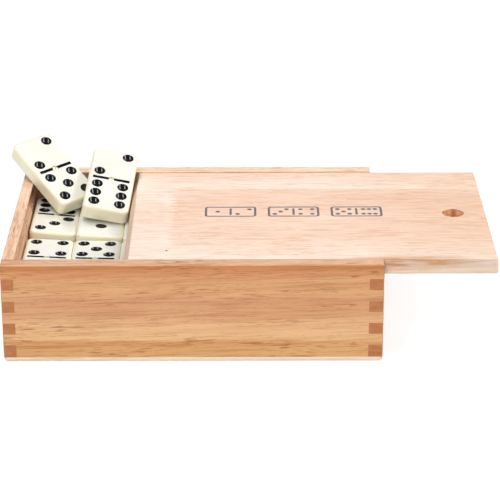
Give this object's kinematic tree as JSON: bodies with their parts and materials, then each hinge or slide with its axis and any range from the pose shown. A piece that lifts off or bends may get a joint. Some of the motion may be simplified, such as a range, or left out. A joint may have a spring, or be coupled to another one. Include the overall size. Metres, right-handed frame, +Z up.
{
  "type": "domino storage box",
  "caption": "Low wooden box with finger-jointed corners and a bevelled lid that slides in a groove, filled with stacked dominoes.",
  "frame": {"origin": "underside of the base panel, at the middle of the carcass", "axes": "+X along the box, the way the lid slides open; -Y is the front face; +Z up"},
  "size_m": [0.2537, 0.1434, 0.072],
  "materials": {
    "base_wood": "satin",
    "front_wood": "satin",
    "back_wood": "satin",
    "side_wood": "satin",
    "lid_wood_pale": "satin",
    "lid_wood_pink": "satin",
    "ivory": "polished",
    "brass": "polished"
  },
  "bodies": {
    "carcass": {"base_panel": "base_wood", "front_wall": "front_wood", "back_wall": "back_wood", "left_wall": "side_wood", "right_wall": "side_wood", "domino_top_front_3": "ivory", "spinner_top_front_3": "brass", "domino_top_rear_1": "ivory", "spinner_top_rear_1": "brass", "domino_top_rear_2": "ivory", "spinner_top_rear_2": "brass", "domino_top_rear_3": "ivory", "spinner_top_rear_3": "brass", "stack_front_1": "ivory", "spinners_front_1": "brass", "stack_front_2": "ivory", "spinners_front_2": "brass", "stack_front_3": "ivory", "spinners_front_3": "brass", "stack_front_4": "ivory", "spinners_front_4": "brass", "stack_front_5": "ivory", "spinners_front_5": "brass", "stack_front_6": "ivory", "spinners_front_6": "brass", "stack_front_7": "ivory", "spinners_front_7": "brass", "stack_rear_1": "ivory", "spinners_rear_1": "brass", "stack_rear_2": "ivory", "spinners_rear_2": "brass", "stack_rear_3": "ivory", "spinners_rear_3": "brass", "stack_rear_4": "ivory", "spinners_rear_4": "brass", "stack_rear_5": "ivory", "spinners_rear_5": "brass", "stack_rear_6": "ivory", "spinners_rear_6": "brass", "stack_rear_7": "ivory", "spinners_rear_7": "brass"},
    "lid": {"lid_front_left_board": "lid_wood_pale", "lid_front_right_board": "lid_wood_pink", "lid_rear_board": "lid_wood_pale"},
    "leaning_left_domino": {"domino_leaning_left": "ivory", "spinner_leaning_left": "brass"},
    "leaning_right_domino": {"domino_leaning_right": "ivory", "spinner_leaning_right": "brass"},
    "front_domino_1": {"domino_top_front_1": "ivory", "spinner_top_front_1": "brass"},
    "front_domino_2": {"domino_top_front_2": "ivory", "spinner_top_front_2": "brass"}
  },
  "joints": [
    {"name": "lid_slide", "type": "slide", "parent": "carcass", "child": "lid", "axis": [1, 0, 0], "range_m": [0, 0.13]},
    {"name": "front_domino_1_lift", "type": "slide", "parent": "carcass", "child": "front_domino_1", "axis": [0, 0, 1], "range_m": [0, 0.06]},
    {"name": "front_domino_2_lift", "type": "slide", "parent": "carcass", "child": "front_domino_2", "axis": [0.0209, 0, 0.9998], "range_m": [0, 0.06]},
    {"name": "leaning_left_lift", "type": "slide", "parent": "carcass", "child": "leaning_left_domino", "axis": [-0.5946, 0.661, 0.4578], "range_m": [0, 0.06]},
    {"name": "leaning_right_lift", "type": "slide", "parent": "carcass", "child": "leaning_right_domino", "axis": [0, 0, 1], "range_m": [0, 0.06]}
  ]
}
